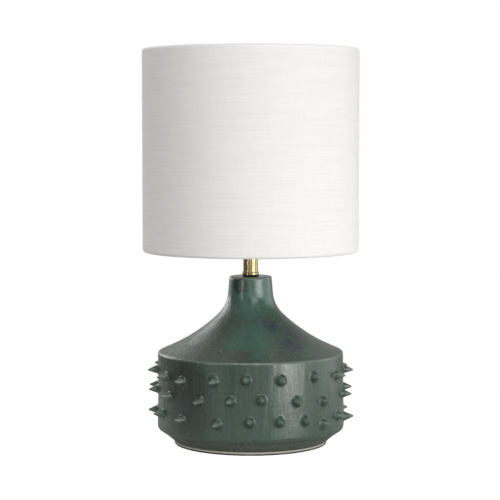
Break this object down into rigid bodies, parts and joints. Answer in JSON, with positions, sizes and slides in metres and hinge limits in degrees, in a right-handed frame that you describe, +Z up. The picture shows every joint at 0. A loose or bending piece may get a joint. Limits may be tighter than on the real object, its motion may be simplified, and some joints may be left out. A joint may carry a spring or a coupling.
{
  "type": "table lamp",
  "caption": "Table lamp: drum-shaped studded ceramic base with sloping shoulder, short brass neck, and white linen drum shade on a harp over a medium screw socket.",
  "frame": {"origin": "centre of the round resting face under the base, on the table plane", "axes": "+Z up the lamp's axis, -Y the front of the lamp, +Y towards the cord outlet, +X to the right seen from the front"},
  "size_m": [0.3047, 0.43, 0.558],
  "materials": {
    "glaze": "satin reactive glaze, dark green teal breaking to brown grey",
    "felt": "pressed felt",
    "black_plastic": "moulded, matt",
    "rubber": "matt",
    "zinc_pipe": "yellow zinc plate",
    "steel": "bright zinc plate",
    "antique_brass": "antique, brushed and lacquered",
    "nickel": "nickel plate",
    "socket_brass": "bright brass plate",
    "cardboard": "pressed paper",
    "phenolic": "moulded phenolic",
    "cord_jacket": "round flexible jacket",
    "black_glass": "fused glass",
    "solder": "dull",
    "bulb_glass": "frosted white",
    "white_enamel": "white powder coat",
    "liner": "white styrene",
    "linen": "slubby natural white linen"
  },
  "bodies": {
    "lamp": {"ceramic_body": "glaze", "felt_pad": "felt", "cord_grommet": "black_plastic", "lamp_pipe": "zinc_pipe", "neck_cushion": "rubber", "neck_washer": "steel", "lock_washer": "steel", "pipe_nut": "steel", "neck_gasket": "rubber", "check_ring": "antique_brass", "neck_tube": "antique_brass", "top_ring": "antique_brass", "harp_saddle": "nickel", "socket_cap": "socket_brass", "set_screw": "steel", "socket_shell": "socket_brass", "socket_liner": "cardboard", "socket_body": "phenolic", "terminal_screws": "socket_brass", "screw_shell": "nickel", "centre_contact": "socket_brass", "power_cord": "cord_jacket", "plug_body": "black_plastic", "plug_blades": "nickel"},
    "harp": {"harp": "nickel", "harp_stud": "antique_brass"},
    "sleeve_left": {"sleeve_left": "nickel"},
    "sleeve_right": {"sleeve_right": "nickel"},
    "switch": {"switch_stem": "socket_brass", "switch_knob": "black_plastic"},
    "bulb": {"bulb_cap": "nickel", "bulb_insulator": "black_glass", "bulb_contact": "solder", "bulb_glass": "bulb_glass"},
    "shade": {"shade_spider": "white_enamel", "shade_bottom_ring": "white_enamel", "shade_liner": "liner", "shade_fabric": "linen"},
    "finial": {"finial": "antique_brass"}
  },
  "joints": [
    {"name": "switch_turn", "type": "hinge", "parent": "lamp", "child": "switch", "pos_m": [0, -0.02, 0.3131], "axis": [0, -1, 0], "continuous": true},
    {"name": "bulb_out", "type": "slide", "parent": "lamp", "child": "bulb", "axis": [0, 0, 1], "range_m": [0, 0.03]},
    {"name": "harp_off", "type": "slide", "parent": "lamp", "child": "harp", "axis": [0, 0, 1], "range_m": [0, 0.02]},
    {"name": "sleeve_left_slide", "type": "slide", "parent": "harp", "child": "sleeve_left", "axis": [0, 0, 1], "range_m": [0, 0.012]},
    {"name": "sleeve_right_slide", "type": "slide", "parent": "harp", "child": "sleeve_right", "axis": [0, 0, 1], "range_m": [0, 0.012]},
    {"name": "shade_turn", "type": "hinge", "parent": "harp", "child": "shade", "pos_m": [0, 0, 0.534], "axis": [0, 0, 1], "continuous": true},
    {"name": "finial_off", "type": "slide", "parent": "harp", "child": "finial", "axis": [0, 0, 1], "range_m": [0, 0.015]}
  ]
}
